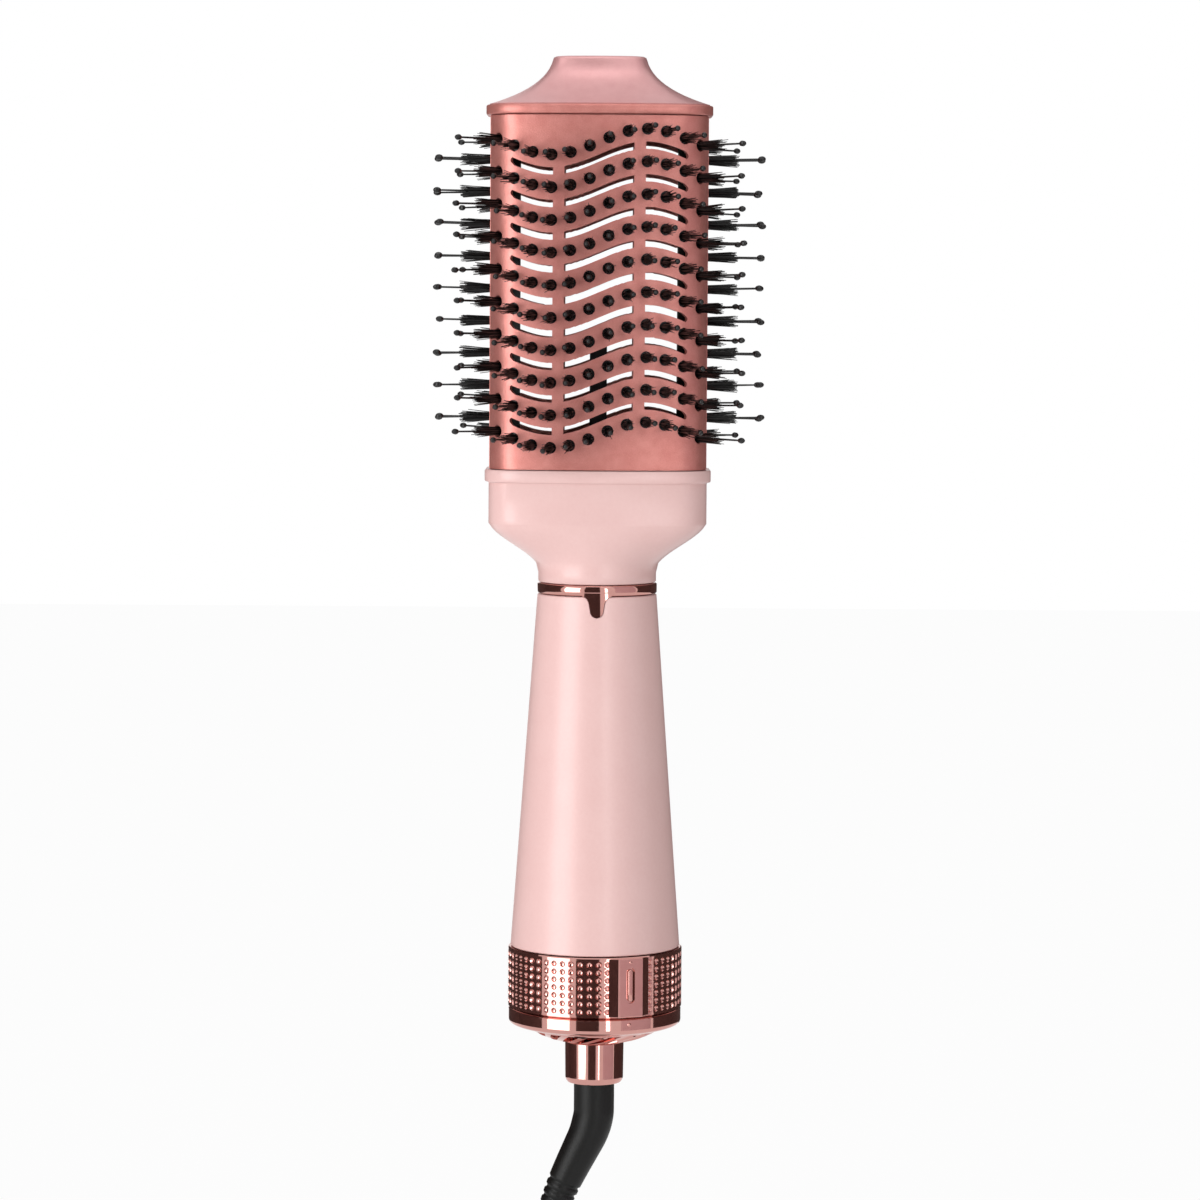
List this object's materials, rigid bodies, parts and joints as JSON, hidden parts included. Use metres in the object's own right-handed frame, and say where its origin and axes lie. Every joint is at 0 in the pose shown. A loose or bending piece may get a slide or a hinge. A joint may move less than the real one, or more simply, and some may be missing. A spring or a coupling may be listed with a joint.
{
  "type": "hot air brush",
  "caption": "Oval vented hot air brush with wavy bristle rows, tapered round handle, selector ring and swivelling mains lead.",
  "frame": {"origin": "on the brush's own axis, within a millimetre of the middle of the grip, where a hand holds it", "axes": "+Z along the axis towards the brush head, front, with the trim ring's tongue, towards -Y, +X to its right; the selector's index is 23.5 degrees right of the front"},
  "size_m": [0.1086, 0.0826, 0.6155],
  "materials": {
    "satin_rose": "satin metallic rose",
    "pink_gloss": "glossy pale pink",
    "rose_chrome": "bright rose gold plating",
    "black_nylon": "black nylon",
    "black_rubber": "matte black rubber",
    "steel": "bright steel",
    "mica": "mica sheet",
    "green_board": "circuit board",
    "white_plastic": "white moulded plastic",
    "nichrome": "dull heating wire"
  },
  "bodies": {
    "root": {"tip_cap": "satin_rose", "front_barrel_shell": "satin_rose", "rear_barrel_shell": "satin_rose", "left_side_strip": "satin_rose", "right_side_strip": "satin_rose", "left_edge_bristles": "black_nylon", "right_edge_bristles": "black_nylon", "barrel_collar": "pink_gloss", "handle_front_shell": "pink_gloss", "handle_rear_shell": "pink_gloss", "trim_ring": "rose_chrome", "inlet_cap": "rose_chrome", "swivel_bush": "rose_chrome", "inner_post": "black_nylon", "temperature_sensor": "white_plastic", "detent_spring": "steel", "switch_contact_board": "green_board", "inlet_filter": "black_nylon", "swivel_contact_block": "white_plastic", "motor_can": "steel", "motor_mount": "black_nylon", "control_board": "green_board", "ionizer_module": "white_plastic", "heater_sleeve": "mica", "heater_board_wide": "mica", "heater_board_deep": "mica", "heating_coil": "nichrome", "thermostat": "steel", "thermal_fuse": "white_plastic", "front_bristle_row_1": "black_nylon", "rear_bristle_row_1": "black_nylon", "front_bristle_row_2": "black_nylon", "rear_bristle_row_2": "black_nylon", "front_bristle_row_3": "black_nylon", "rear_bristle_row_3": "black_nylon", "front_bristle_row_4": "black_nylon", "rear_bristle_row_4": "black_nylon", "front_bristle_row_5": "black_nylon", "rear_bristle_row_5": "black_nylon", "front_bristle_row_6": "black_nylon", "rear_bristle_row_6": "black_nylon", "front_bristle_row_7": "black_nylon", "rear_bristle_row_7": "black_nylon", "front_bristle_row_8": "black_nylon", "rear_bristle_row_8": "black_nylon", "front_bristle_row_9": "black_nylon", "rear_bristle_row_9": "black_nylon", "front_bristle_row_10": "black_nylon", "rear_bristle_row_10": "black_nylon"},
    "selector": {"selector_ring": "rose_chrome", "switch_wiper": "steel"},
    "fan": {"impeller": "white_plastic", "motor_shaft": "steel"},
    "cord_swivel": {"strain_relief_boot": "black_rubber", "mains_lead": "black_rubber", "cord_hank": "black_rubber", "hank_tie": "black_nylon", "plug_body": "black_rubber", "plug_blade_left": "steel", "plug_blade_right": "steel"}
  },
  "joints": [
    {"name": "selector_turn", "type": "hinge", "parent": "root", "child": "selector", "pos_m": [0, 0, -0.0688], "axis": [0, 0, 1], "range_deg": [0, 72]},
    {"name": "fan_spin", "type": "hinge", "parent": "root", "child": "fan", "pos_m": [0, 0, -0.046], "axis": [0, 0, 1], "continuous": true},
    {"name": "lead_swivel", "type": "hinge", "parent": "root", "child": "cord_swivel", "pos_m": [0, 0, -0.0973], "axis": [0, 0, 1], "continuous": true}
  ]
}
